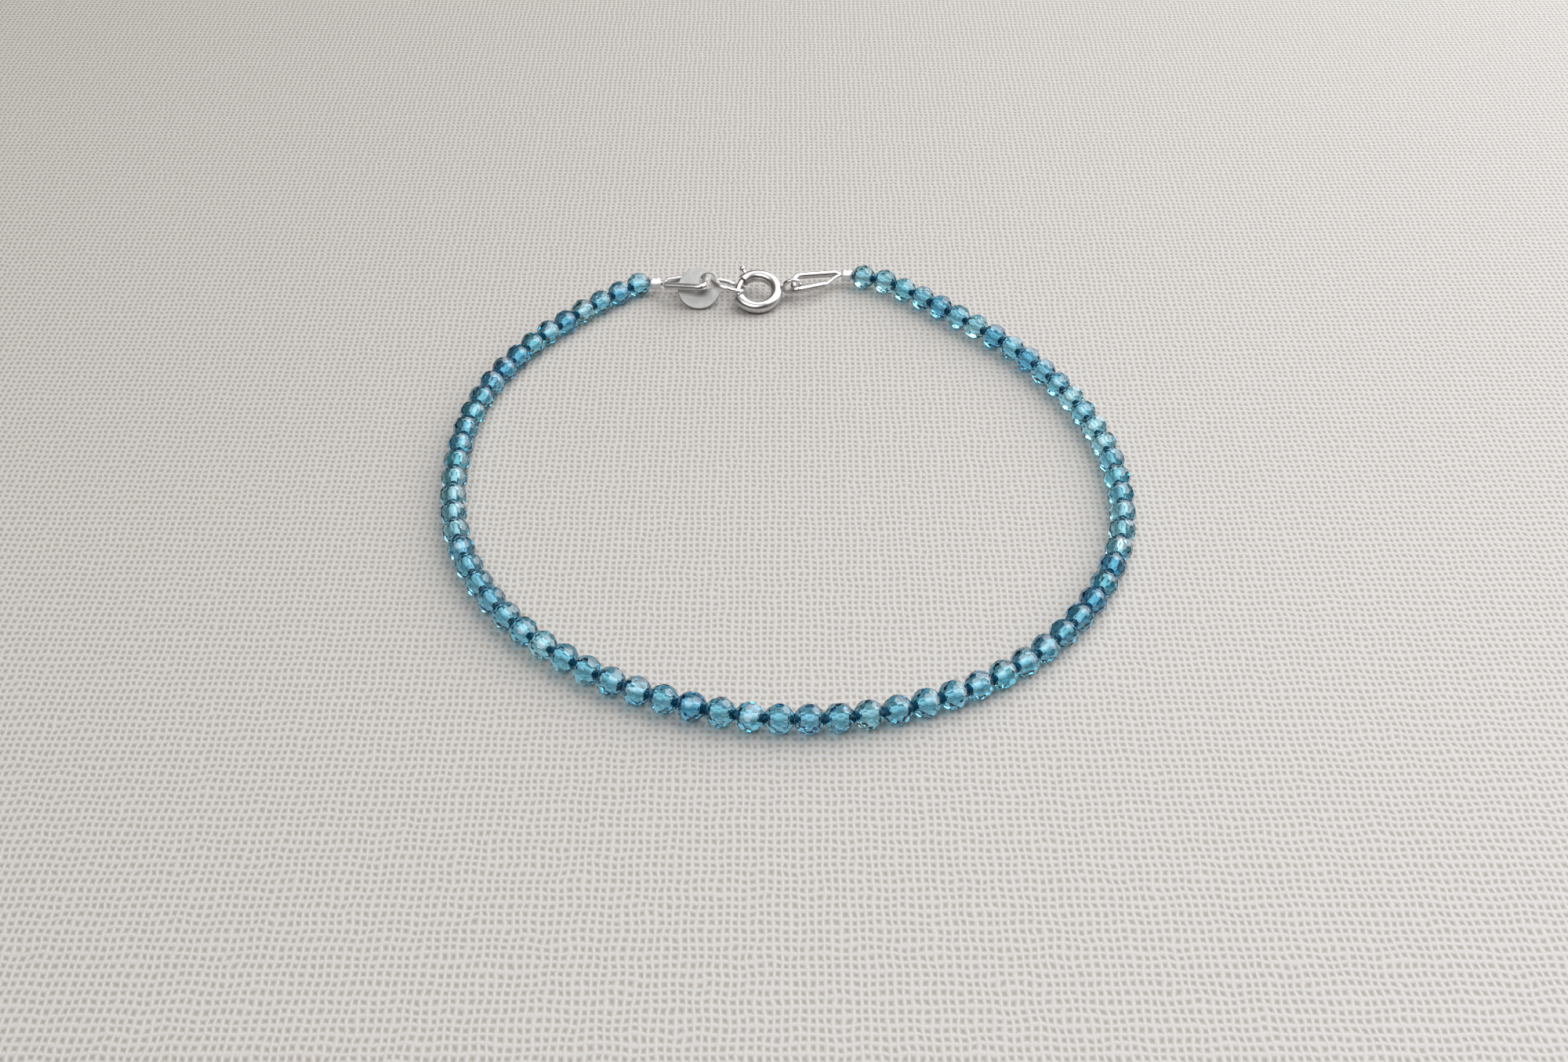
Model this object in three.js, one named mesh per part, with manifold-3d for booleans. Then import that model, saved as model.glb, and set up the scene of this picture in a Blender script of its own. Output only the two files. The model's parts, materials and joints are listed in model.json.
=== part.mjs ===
// A beaded bracelet, closed and lying flat: one string of faceted round beads, a crimp and a wire
// guardian at each end, a small tag on one guardian, and a spring ring that closes on a jump ring.
// Millimetres, +Z up. The loop lies in the XY plane with its clasp on the +Y side, and the beads
// stand on z = 0.
import * as THREE from 'three';
import { mergeVertices } from 'three/addons/utils/BufferGeometryUtils.js';
import Module from 'manifold-3d';

const wasm = await Module();
wasm.setup();

// ---------------------------------------------------------------- driving dimensions

const BEAD = {
  count: 72,
  perStretch: 4,
  radius: 1.12,
  sides: 8,
  facetLatitudes: [-64, -39, -13, 13, 39, 64], // degrees from the bead's girdle
};

// The route of the thread seen from above, from the right crimp round the front to the left one.
const LOOP = [
  { bearingDeg: 78.15, radius: 28.98 },
  { bearingDeg: 75.1, radius: 29.08 },
  { bearingDeg: 71, radius: 29.02 },
  { bearingDeg: 62, radius: 27.85 },
  { bearingDeg: 50, radius: 26.85 },
  { bearingDeg: 36, radius: 26.8 },
  { bearingDeg: 18, radius: 27.15 },
  { bearingDeg: 0, radius: 27.95 },
  { bearingDeg: -18, radius: 28.7 },
  { bearingDeg: -36, radius: 28.93 },
  { bearingDeg: -54, radius: 28.85 },
  { bearingDeg: -72, radius: 28.5 },
  { bearingDeg: -90, radius: 28.2 },
  { bearingDeg: -108, radius: 27.8 },
  { bearingDeg: -126, radius: 27.8 },
  { bearingDeg: -144, radius: 28.1 },
  { bearingDeg: -162, radius: 28.2 },
  { bearingDeg: -180, radius: 28.15 },
  { bearingDeg: -198, radius: 28.7 },
  { bearingDeg: -214, radius: 29.1 },
  { bearingDeg: -228, radius: 29.43 },
  { bearingDeg: -237.6, radius: 30.07 },
  { bearingDeg: -241.8, radius: 30.36 },
  { bearingDeg: -244.9, radius: 29.78 },
];

const CRIMP = { length: 0.95, radius: 0.56, waistRadius: 0.46, holeRadius: 0.33, toBead: 1.68 };
const STRAND = { radius: 0.12, spread: 0.16, straight: 0.18, behindCrimp: 0.04, intoTube: 0.45 };
const GUARDIAN = { tubeRadius: 0.33, boreRadius: 0.2, boreDepth: 0.7, cornerRadius: 0.85, steps: 24 };

// Each guardian is a U of tube: the end of its far leg, its two corners, the end of its near leg.
const GUARDIAN_RIGHT = {
  farEnd: [4.95, 28.66, 1.15],
  farCorner: [0.72, 27.85, 1.35],
  nearCorner: [0.72, 25.4, 1.35],
  nearEnd: [3.8, 26.75, 1.15],
};
const GUARDIAN_LEFT = {
  farEnd: [-11.6, 27.15, 1.3],
  farCorner: [-7.79, 28.05, 1.5],
  nearCorner: [-7.79, 24.6, 2.3],
  nearEnd: [-11.6, 25.75, 1.72],
};

const TAG = {
  radius: 2.06,
  thickness: 0.26,
  holeRadius: 0.77,
  holeAt: [0.82, 0.72],
  centre: [-8.33, 25.75, 1.42],
  tiltDeg: 38,
};

// The jump ring's wire crosses the tag's hole at one end and holds the spring ring at the other.
const JUMP_RING = {
  wireRadius: 0.21,
  inTag: [-7.12, 26.35, 1.9],
  inSpringRing: [-3.95, 25.75, 1.16],
  tiltDeg: -24,
};

const SPRING_RING = {
  centre: [-2.76, 25.56, 1.2],
  tiltDeg: 18,
  majorRadius: 1.875,
  tubeRadius: 0.575,
  boreRadius: 0.41,
  mouthFromDeg: 138,
  mouthToDeg: 206,
};
const EYELET = { atDeg: 11, majorRadius: 0.85, wireRadius: 0.2, soldered: 0.1 };
const BOLT = { radius: 0.3, tailDeg: 108, triggerDeg: 118, tipDeg: 212, travelDeg: 73 };
const TRIGGER = { width: 0.24, length: 0.36, reach: 0.62, knobRadius: 0.3 };
const SLOT = { width: 0.4, clearanceDeg: 8, floorRadius: 1.975, outerRadius: 2.875 };

// Cutters run this far past the mouths that they open.
const OVERRUN = { length: 0.1, deg: 4 };

// Sides round a section, and degrees of arc to a step along a ring.
const SIDES = { wire: 6, rod: 8, ring: 12 };
const DEG_PER_STEP = 12;

const silver = { color: 0xd9dadb, roughness: 0.22, metalness: 1 };
const FINISH = {
  bead: { color: 0x3f8fae, roughness: 0.12, metalness: 0, transparent: true, opacity: 0.8 },
  silver,
  crimp: { ...silver, roughness: 0.3 },
  tag: { ...silver, color: 0xc4c6c3, roughness: 0.45 },
};

// ---------------------------------------------------------------- helpers

const vec = (values) => new THREE.Vector3(...values);
const rad = THREE.MathUtils.degToRad;

function named(name, geometry, finish) {
  const mesh = new THREE.Mesh(geometry, new THREE.MeshStandardMaterial(FINISH[finish]));
  mesh.name = name;
  return mesh;
}

function solid(geometry) {
  const bare = geometry.clone();
  bare.deleteAttribute('normal');
  bare.deleteAttribute('uv');
  const merged = mergeVertices(bare, 1e-4);
  return new wasm.Manifold(
    new wasm.Mesh({
      numProp: 3,
      vertProperties: merged.attributes.position.array,
      triVerts: merged.index.array,
    }),
  );
}

function surface(manifold) {
  const { vertProperties, triVerts } = manifold.getMesh();
  const geometry = new THREE.BufferGeometry();
  geometry.setAttribute('position', new THREE.BufferAttribute(vertProperties, 3));
  geometry.setIndex(new THREE.BufferAttribute(triVerts, 1));
  return geometry;
}

function polygon(radius, sides) {
  const shape = new THREE.Shape();
  for (let i = 0; i < sides; i += 1) {
    const angle = ((i + 0.5) / sides) * 2 * Math.PI;
    const point = [radius * Math.cos(angle), radius * Math.sin(angle)];
    if (i === 0) shape.moveTo(...point);
    else shape.lineTo(...point);
  }
  shape.closePath();
  return shape;
}

function tube(path, radius, sides, steps) {
  return new THREE.ExtrudeGeometry(polygon(radius, sides), { steps, extrudePath: path });
}

// A route of straight runs with a rounded corner at every inner point.
function rounded(points, cornerRadius) {
  const path = new THREE.CurvePath();
  let from = points[0];
  for (let i = 1; i < points.length - 1; i += 1) {
    const corner = points[i];
    const before = corner.clone().add(points[i - 1].clone().sub(corner).setLength(cornerRadius));
    const after = corner.clone().add(points[i + 1].clone().sub(corner).setLength(cornerRadius));
    path.add(new THREE.LineCurve3(from, before));
    path.add(new THREE.QuadraticBezierCurve3(before, corner, after));
    from = after;
  }
  path.add(new THREE.LineCurve3(from, points[points.length - 1]));
  return path;
}

// A rod between two points, or a bore to cut along the same line.
function rod(from, to, radius, sides) {
  return tube(new THREE.LineCurve3(from, to), radius, sides, 1);
}

// A thin wire bent sharply at each inner point: straight rods that run into each other.
function bentWire(points, radius) {
  const runs = points.slice(1).map((to, i) => {
    const reach = to.clone().sub(points[i]).setLength(radius / 2);
    return solid(rod(points[i], to.clone().add(reach), radius, SIDES.wire));
  });
  return runs.reduce((wire, run) => wire.add(run));
}

class ArcCurve3 extends THREE.Curve {
  constructor(radius, fromDeg, toDeg) {
    super();
    this.radius = radius;
    this.from = rad(fromDeg);
    this.to = rad(toDeg);
  }

  getPoint(t, target = new THREE.Vector3()) {
    const angle = this.from + (this.to - this.from) * t;
    return target.set(this.radius * Math.cos(angle), this.radius * Math.sin(angle), 0);
  }
}

// ---------------------------------------------------------------- bead string

const girdle = BEAD.radius / (Math.cos(Math.PI / BEAD.sides) * Math.cos(rad(BEAD.facetLatitudes[3])));

const loop = new THREE.CatmullRomCurve3(
  LOOP.map(({ bearingDeg, radius }) => {
    const bearing = rad(bearingDeg);
    return new THREE.Vector3(radius * Math.cos(bearing), radius * Math.sin(bearing), BEAD.radius);
  }),
);
loop.arcLengthDivisions = 2000;
const loopLength = loop.getLength();
const pitch = (loopLength - 2 * CRIMP.toBead) / (BEAD.count - 1);

// A frame on the thread: X across the string, Y along it, Z up.
function frameAt(distance) {
  const along = loop.getTangentAt(distance / loopLength).setZ(0).normalize();
  const up = new THREE.Vector3(0, 0, 1);
  const across = along.clone().cross(up);
  return new THREE.Matrix4()
    .makeBasis(across, along, up)
    .setPosition(loop.getPointAt(distance / loopLength));
}

// One lathe turns a whole stretch straight; each bead then takes its own place on the thread.
function stretchGeometry(firstBead) {
  const profile = [];
  for (let bead = 0; bead < BEAD.perStretch; bead += 1) {
    for (const latitude of BEAD.facetLatitudes.map(rad)) {
      const radius = girdle * Math.cos(latitude);
      profile.push(new THREE.Vector2(radius, bead * pitch + BEAD.radius * Math.sin(latitude)));
    }
  }
  profile.unshift(new THREE.Vector2(0, profile[0].y));
  profile.push(new THREE.Vector2(0, profile[profile.length - 1].y));
  const geometry = new THREE.LatheGeometry(profile, BEAD.sides, Math.PI / BEAD.sides);
  const position = geometry.attributes.position;
  const point = new THREE.Vector3();
  for (let i = 0; i < position.count; i += 1) {
    point.fromBufferAttribute(position, i);
    const bead = Math.round(point.y / pitch);
    point.y -= bead * pitch;
    point.applyMatrix4(frameAt(CRIMP.toBead + (firstBead + bead) * pitch));
    position.setXYZ(i, point.x, point.y, point.z);
  }
  return geometry;
}

function beadStretches() {
  const meshes = [];
  for (let first = 0; first < BEAD.count; first += BEAD.perStretch) {
    const number = String(first / BEAD.perStretch + 1).padStart(2, '0');
    meshes.push(named(`beads_${number}`, stretchGeometry(first), 'bead'));
  }
  return meshes;
}

// ---------------------------------------------------------------- crimps, strands and guardians

function crimpGeometry() {
  const half = CRIMP.length / 2;
  const outline = [
    [CRIMP.holeRadius, -half],
    [CRIMP.waistRadius, -half],
    [CRIMP.radius, -half / 2],
    [CRIMP.radius, half / 2],
    [CRIMP.waistRadius, half],
    [CRIMP.holeRadius, half],
    [CRIMP.holeRadius, -half],
  ];
  return new THREE.LatheGeometry(
    outline.map(([radius, height]) => new THREE.Vector2(radius, height)),
    SIDES.ring,
  );
}

function guardianGeometry({ farEnd, farCorner, nearCorner, nearEnd }) {
  const points = [farEnd, farCorner, nearCorner, nearEnd].map(vec);
  const route = rounded(points, GUARDIAN.cornerRadius);
  const outside = tube(route, GUARDIAN.tubeRadius, SIDES.rod, GUARDIAN.steps);
  const bores = [
    [points[0], points[1]],
    [points[3], points[2]],
  ].map(([end, corner]) => {
    const inward = corner.clone().sub(end).normalize();
    const mouth = end.clone().addScaledVector(inward, -OVERRUN.length);
    const floor = end.clone().addScaledVector(inward, GUARDIAN.boreDepth);
    return solid(rod(mouth, floor, GUARDIAN.boreRadius, SIDES.wire));
  });
  return surface(bores.reduce((body, bore) => body.subtract(bore), solid(outside)));
}

// Two strands leave the bead side by side, pass the crimp and part into the guardian's two legs.
function strandsGeometry(crimpFrame, towardClasp, guardian) {
  const legs = [
    [guardian.farEnd, guardian.farCorner],
    [guardian.nearEnd, guardian.nearCorner],
  ].map((pair) => pair.map(vec));
  const at = (across, along) =>
    new THREE.Vector3(across, along * towardClasp, 0).applyMatrix4(crimpFrame);
  const sideOfFar = Math.sign(legs[0][0].clone().applyMatrix4(crimpFrame.clone().invert()).x);
  const strands = legs.map(([end, corner], index) => {
    const side = (((index === 0 ? 1 : -1) * sideOfFar) * STRAND.spread) / 2;
    const inward = corner.clone().sub(end).normalize();
    const points = [
      at(side, -CRIMP.length / 2 - STRAND.behindCrimp),
      at(side, CRIMP.length / 2 + STRAND.straight),
      end.clone().addScaledVector(inward, -STRAND.straight),
      end.clone().addScaledVector(inward, STRAND.intoTube),
    ];
    return bentWire(points, STRAND.radius);
  });
  return surface(strands[0].add(strands[1]));
}

function endFittings(side, distance, towardClasp, guardian) {
  const frame = frameAt(distance);
  const crimp = named(`crimp_${side}`, crimpGeometry(), 'crimp');
  crimp.applyMatrix4(frame);
  return [
    crimp,
    named(`strands_${side}`, strandsGeometry(frame, towardClasp, guardian), 'silver'),
    named(`guardian_${side}`, guardianGeometry(guardian), 'silver'),
  ];
}

// ---------------------------------------------------------------- tag and jump ring

function tagMesh() {
  const shape = new THREE.Shape();
  shape.absarc(0, 0, TAG.radius, 0, 2 * Math.PI);
  const hole = new THREE.Path();
  hole.absarc(...TAG.holeAt, TAG.holeRadius, 0, 2 * Math.PI, true);
  shape.holes.push(hole);
  const options = { depth: TAG.thickness, bevelEnabled: false, curveSegments: 14 };
  const plate = new THREE.ExtrudeGeometry(shape, options).translate(0, 0, -TAG.thickness / 2);
  const mesh = named('tag', plate, 'tag');
  mesh.position.set(...TAG.centre);
  mesh.rotation.x = rad(TAG.tiltDeg);
  return mesh;
}

function jumpRingMesh() {
  const from = vec(JUMP_RING.inTag);
  const to = vec(JUMP_RING.inSpringRing);
  const tilt = rad(JUMP_RING.tiltDeg);
  const lengthwise = to.clone().sub(from);
  const crosswise = new THREE.Vector3(0, Math.cos(tilt), Math.sin(tilt));
  const normal = lengthwise.clone().normalize().cross(crosswise).normalize();
  const basis = new THREE.Matrix4().makeBasis(
    lengthwise.clone().normalize(),
    normal.clone().cross(lengthwise).normalize(),
    normal,
  );
  const radius = lengthwise.length() / 2;
  const torus = new THREE.TorusGeometry(radius, JUMP_RING.wireRadius, SIDES.rod, 2 * SIDES.ring);
  const mesh = named('jump_ring', torus, 'silver');
  mesh.applyMatrix4(basis.setPosition(from.add(to).multiplyScalar(0.5)));
  return mesh;
}

// ---------------------------------------------------------------- spring ring and its bolt

function arcTube(fromDeg, toDeg, radius, sides) {
  const steps = Math.round((toDeg - fromDeg) / DEG_PER_STEP);
  return solid(tube(new ArcCurve3(SPRING_RING.majorRadius, fromDeg, toDeg), radius, sides, steps));
}

function slotCutter() {
  const from = rad(BOLT.triggerDeg - BOLT.travelDeg - SLOT.clearanceDeg);
  const to = rad(SPRING_RING.mouthFromDeg + SLOT.clearanceDeg);
  const shape = new THREE.Shape();
  shape.absarc(0, 0, SLOT.outerRadius, from, to, false);
  shape.absarc(0, 0, SLOT.floorRadius, to, from, true);
  const options = { depth: SLOT.width, bevelEnabled: false, curveSegments: 10 };
  return solid(new THREE.ExtrudeGeometry(shape, options).translate(0, 0, -SLOT.width / 2));
}

function eyelet() {
  const outer = SPRING_RING.majorRadius + SPRING_RING.tubeRadius;
  const ring = new THREE.TorusGeometry(EYELET.majorRadius, EYELET.wireRadius, SIDES.rod, 16);
  ring.rotateX(Math.PI / 2);
  ring.translate(outer - EYELET.soldered + EYELET.majorRadius + EYELET.wireRadius, 0, 0);
  ring.rotateZ(rad(EYELET.atDeg));
  return solid(ring);
}

function springRingGeometry() {
  const from = SPRING_RING.mouthToDeg - 360;
  const to = SPRING_RING.mouthFromDeg;
  const outside = arcTube(from, to, SPRING_RING.tubeRadius, SIDES.ring);
  const bore = arcTube(from - OVERRUN.deg, to + OVERRUN.deg, SPRING_RING.boreRadius, SIDES.ring);
  return surface(outside.subtract(bore).subtract(slotCutter()).add(eyelet()));
}

function boltGeometry() {
  const outer = SPRING_RING.majorRadius + SPRING_RING.tubeRadius;
  const stemLength = outer + TRIGGER.reach - SPRING_RING.majorRadius;
  const stem = new THREE.BoxGeometry(stemLength, TRIGGER.length, TRIGGER.width);
  stem.translate(SPRING_RING.majorRadius + stemLength / 2, 0, 0);
  const knob = new THREE.SphereGeometry(TRIGGER.knobRadius, 8, 6);
  knob.translate(outer + TRIGGER.reach, 0, 0);
  const trigger = [stem, knob].map((piece) => solid(piece.rotateZ(rad(BOLT.triggerDeg))));
  const pin = arcTube(BOLT.tailDeg, BOLT.tipDeg, BOLT.radius, SIDES.rod);
  return surface(pin.add(trigger[0]).add(trigger[1]));
}

function springRing() {
  const group = new THREE.Group();
  group.add(named('spring_ring', springRingGeometry(), 'silver'));
  group.add(named('bolt', boltGeometry(), 'silver'));
  group.position.set(...SPRING_RING.centre);
  group.rotation.x = rad(SPRING_RING.tiltDeg);
  return group;
}

// ---------------------------------------------------------------- the whole bracelet

const bracelet = new THREE.Group();
bracelet.add(...beadStretches());
bracelet.add(...endFittings('right', 0, -1, GUARDIAN_RIGHT));
bracelet.add(...endFittings('left', loopLength, 1, GUARDIAN_LEFT));
bracelet.add(tagMesh(), jumpRingMesh(), springRing());

// The origin is the middle of the footprint, at table height.
const box = new THREE.Box3().setFromObject(bracelet, true);
const middle = box.getCenter(new THREE.Vector3());
bracelet.position.set(-middle.x, -middle.y, -box.min.z);

export default bracelet;
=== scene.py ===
"""The looks of the beaded bracelet: transparent faceted stone beads on a beading wire, and a polished
silver clasp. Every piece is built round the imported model, in metres, on a floor of pale woven cloth.
"""

import json
import math
import random

import bmesh
import bpy
import numpy as np
from mathutils import Matrix, Vector, noise


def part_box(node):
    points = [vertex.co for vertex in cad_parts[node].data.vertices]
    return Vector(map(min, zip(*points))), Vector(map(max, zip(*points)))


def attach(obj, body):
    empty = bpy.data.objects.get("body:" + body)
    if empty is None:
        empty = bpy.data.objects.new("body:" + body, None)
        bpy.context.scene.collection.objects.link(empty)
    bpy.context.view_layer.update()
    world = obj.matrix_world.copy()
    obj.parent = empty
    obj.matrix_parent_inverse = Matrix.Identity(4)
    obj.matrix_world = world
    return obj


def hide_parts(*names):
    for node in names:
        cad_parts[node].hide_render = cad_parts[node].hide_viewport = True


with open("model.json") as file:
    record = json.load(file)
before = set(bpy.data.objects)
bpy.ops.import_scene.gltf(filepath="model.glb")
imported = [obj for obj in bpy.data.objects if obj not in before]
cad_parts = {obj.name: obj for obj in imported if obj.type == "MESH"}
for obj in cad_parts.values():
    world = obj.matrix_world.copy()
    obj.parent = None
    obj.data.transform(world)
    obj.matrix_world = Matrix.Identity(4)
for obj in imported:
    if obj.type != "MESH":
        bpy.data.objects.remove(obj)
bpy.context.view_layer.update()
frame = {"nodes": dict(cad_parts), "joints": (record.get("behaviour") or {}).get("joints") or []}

MM = 0.001
UP = Vector((0, 0, 1))

# ---------------------------------------------------------------- sizes, in millimetres

BEAD = {
    "across_flats": 2.2,
    "half_length": 1.095,
    "facets_round": 10,
    "rows": ((0, 1.0), (27, 1.0), (50, 1.03)),  # latitude of each facet row, and how far out it lies
    "edge_wear": 0.015,
    "hole_radius": 0.19,
    "mouth_radius": 0.3,
    "hole_sides": 24,
    "pale_hole": 0.45,  # how much of the hole's length is ground pale; the rest is painted dark, as painted shade at the hole's ends
    "cuts": 6,  # different beads, each cut a little unevenly
    "uneven": 0.022,
    "lean_deg": 1.5,  # the most that a bead tips on the thread
    "smallest": 0.99,  # against the full size
    "shades": (0, 0, 0, 1, 1, 2, 3, 4),  # which stones a bead is drawn from, by number
    "seed": 11,
}
THREAD = {"radius": 0.15, "sides": 12, "step": 0.12}
CRIMP = {
    "length": 0.95,
    "radius": 0.56,
    "end_radius": 0.46,
    "hole_radius": 0.33,
    "sides": 48,
    "steps": 16,  # sections along its outside
    "bore_steps": 8,
    "squareness": 2.6,  # 2 would make its outline an ellipse
    "lip_rise": 0.4,  # how far each end stands out, in half widths of its wall
    "pinch": 0.1,  # how deep the pliers' mark is, against the radius
    "pinch_width": 0.2,
    "pinch_at": 1.1,  # radians from across, towards above
}
STRANDS = {"spread": 0.25, "behind_crimp": 0.1, "straight": 0.18}
GUARDIAN = {
    "radius": 0.33,
    "bore": 0.225,
    "corner": 0.85,
    "seam_deg": 3,
    "open_deg": 78,
    "open_share": 0.42,  # how much of each half is open, from the middle of the bend
    "rings": 72,
    "sides": 32,
    "edge_wear": 0.02,
}
TAG = {
    "radius": 2.06,
    "thickness": 0.26,
    "hole_radius": 0.77,
    "hole_at": (0.82, 0.72),
    "tilt_deg": 38,
    "edge": 0.07,
    "sides": 128,
    "steps": 10,  # from the hole to the rim
    "edge_steps": 4,
    "dents": 0.012,
    "dent_scales": ((1.3, 1.0), (3.1, 0.5)),  # dents in a millimetre, and their share of the depth
}
JUMP_RING = {
    "wire": 0.21,
    "cut_deg": 72,
    "cut_gap": 0.03,
    "sides": 24,
    "rings": 144,
    "edge_wear": 0.02,
}
SPRING_RING = {
    "major": 1.875,
    "tube": 0.575,
    "bore": 0.41,
    "mouth_deg": (138, 206),
    "slot_deg": (37, 138),
    "slot_width": 0.4,
    "rings_per_deg": 0.6,
    "sides": 48,
    "edge_wear": 0.025,
}
EYELET = {"at_deg": 11, "major": 0.85, "wire": 0.2, "soldered": 0.1}
BOLT = {
    "radius": 0.3,
    "tip_radius": 0.0001,  # so small that it looks like a round end
    "tail_deg": 108,
    "trigger_deg": 118,
    "tip_deg": 212,
    "rings": 90,
    "sides": 28,
}
TRIGGER = {
    "width": 0.24,
    "length": 0.36,
    "reach": 0.62,
    "knob": 0.3,
    "sides": 20,
    "steps": 12,
    "waist": 0.18,  # how much thinner its middle is
    "squareness": 0.5,  # 1 would make its section an ellipse
}

# Where the clasp's pieces lie, in the part's own millimetres from the middle of the bead loop.
CLASP = {
    "spring_ring": (-2.76, 25.56, 1.2),
    "tag": (-8.33, 25.75, 1.42),
    "jump_ring_in_tag": (-7.12, 26.35, 1.9),
    "jump_ring_in_spring_ring": (-3.95, 25.75, 1.16),
}
JUMP_RING_TILT_DEG = -24
GUARDIAN_ROUTE = {  # far end, far corner, near corner, near end
    "right": ((4.95, 28.66, 1.15), (0.72, 27.85, 1.35), (0.72, 25.4, 1.35), (3.8, 26.75, 1.15)),
    "left": ((-11.6, 27.15, 1.3), (-7.79, 28.05, 1.5), (-7.79, 24.6, 2.3), (-11.6, 25.75, 1.72)),
}

CAMERA = {"left": 0.113, "back": 108.98, "up": 95.94, "down_deg": 43.2, "lens": 38.86, "clip": 5}

joint = frame["joints"][0]
RING_CENTRE = Vector(joint["pos_m"])
RING_NORMAL = -Vector(joint["axis"]).normalized()
SHIFT = RING_CENTRE - Vector(CLASP["spring_ring"]) * MM


def place(point):
    """A point of the tables above in the frame, in metres."""
    return Vector(point) * MM + SHIFT


# ---------------------------------------------------------------- mesh helpers


def piece(name, shape, materials, replaced, body="bracelet", smooth=True, wear_mm=0.0):
    """A new object of (verts, faces) on a body of the part, in place of the nodes in replaced."""
    verts, faces = shape
    mesh = bpy.data.meshes.new(name)
    mesh.from_pydata([tuple(v) for v in verts], [], [tuple(f) for f in faces])
    for material in materials:
        mesh.materials.append(material)
    mesh.update()
    obj = bpy.data.objects.new(name, mesh)
    bpy.context.scene.collection.objects.link(obj)
    if smooth:
        soften(obj, wear_mm * MM)
    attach(obj, body)
    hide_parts(*replaced)
    return obj


def soften(obj, wear, sharp_deg=38):
    """Smooth shading with creases kept sharp, and creases worn round by wear metres."""
    body = bmesh.new()
    body.from_mesh(obj.data)
    bmesh.ops.recalc_face_normals(body, faces=body.faces)
    sharp = math.radians(sharp_deg)
    if wear:
        edges = [e for e in body.edges if len(e.link_faces) == 2 and e.calc_face_angle() > sharp]
        bmesh.ops.bevel(
            body, geom=edges, offset=wear, segments=2, affect="EDGES", clamp_overlap=True, profile=0.5
        )
    for face in body.faces:
        face.smooth = True
    for edge in body.edges:
        edge.smooth = len(edge.link_faces) == 2 and edge.calc_face_angle() < sharp
    body.to_mesh(obj.data)
    body.free()


def sections(points, start=None):
    """A frame at each point of a path: (point, tangent, one side, other side), without twist."""
    points = [Vector(p) for p in points]
    tangents = []
    for i in range(len(points)):
        before, after = points[max(i - 1, 0)], points[min(i + 1, len(points) - 1)]
        tangents.append((after - before).normalized())
    side = start or tangents[0].orthogonal()
    made = []
    for point, tangent in zip(points, tangents):
        side = (side - tangent * side.dot(tangent)).normalized()
        made.append((point, tangent, side, tangent.cross(side)))
    return made


def wrapped(rings, sides):
    """The faces of a grid of points that closes on itself both ways."""
    faces = []
    for i in range(rings):
        k = (i + 1) % rings
        for j in range(sides):
            m = (j + 1) % sides
            faces.append((i * sides + j, i * sides + m, k * sides + m, k * sides + j))
    return faces


def capped(rings, sides):
    """The faces of a grid of points that closes round each ring, with a cap at each end."""
    last = (rings - 1) * sides
    walls = wrapped(rings, sides)[:last]
    return [*walls, tuple(reversed(range(sides))), tuple(range(last, last + sides))]


def tube(frames, radius, sides):
    """A closed round rod along frames. radius is a number, or a function of the place from 0 to 1."""
    verts = []
    last = len(frames) - 1
    for i, (point, _, side, other) in enumerate(frames):
        r = radius(i / last) if callable(radius) else radius
        for j in range(sides):
            angle = 2 * math.pi * j / sides
            verts.append(point + (side * math.cos(angle) + other * math.sin(angle)) * r)
    return verts, capped(len(frames), sides)


def shell(outer, inner, is_open):
    """A wall between two grids of points, each [ring][side], less the cells where is_open(i, j)."""
    rings, sides = len(outer), len(outer[0])
    verts = [p for ring in outer for p in ring] + [p for ring in inner for p in ring]
    under = rings * sides

    def at(i, j):
        return i * sides + j % sides

    def solid(i, j):
        return 0 <= i < rings - 1 and not is_open(i, j % sides)

    faces = []
    for i in range(rings - 1):
        for j in range(sides):
            if not solid(i, j):
                continue
            a, b, c, d = at(i, j), at(i, j + 1), at(i + 1, j + 1), at(i + 1, j)
            faces += [(a, b, c, d), (d + under, c + under, b + under, a + under)]
            for (p, q), (ni, nj) in (
                ((a, b), (i - 1, j)),
                ((b, c), (i, j + 1)),
                ((c, d), (i + 1, j)),
                ((d, a), (i, j - 1)),
            ):
                if not solid(ni, nj):
                    faces.append((q, p, p + under, q + under))
    used = sorted({v for f in faces for v in f})
    renumber = {v: n for n, v in enumerate(used)}
    return [verts[v] for v in used], [tuple(renumber[v] for v in f) for f in faces]


def joined(parts):
    """Several (verts, faces) as one."""
    verts, faces = [], []
    for more_verts, more_faces in parts:
        base = len(verts)
        verts += more_verts
        faces += [tuple(v + base for v in f) for f in more_faces]
    return verts, faces


def curve_through(points, step):
    """Points about step apart on a smooth curve through the given ones."""
    points = [Vector(p) for p in points]
    padded = [points[0] * 2 - points[1], *points, points[-1] * 2 - points[-2]]
    made = []
    for p0, p1, p2, p3 in zip(padded, padded[1:], padded[2:], padded[3:]):
        count = max(1, round((p2 - p1).length / step))
        reach = (p2 - p1).length
        into = (p2 - p0).normalized() * reach
        out = (p3 - p1).normalized() * reach
        for n in range(count):
            t = n / count
            made.append(
                p1 * (2 * t**3 - 3 * t**2 + 1)
                + into * (t**3 - 2 * t**2 + t)
                + p2 * (3 * t**2 - 2 * t**3)
                + out * (t**3 - t**2)
            )
    return made + [points[-1]]


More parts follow.
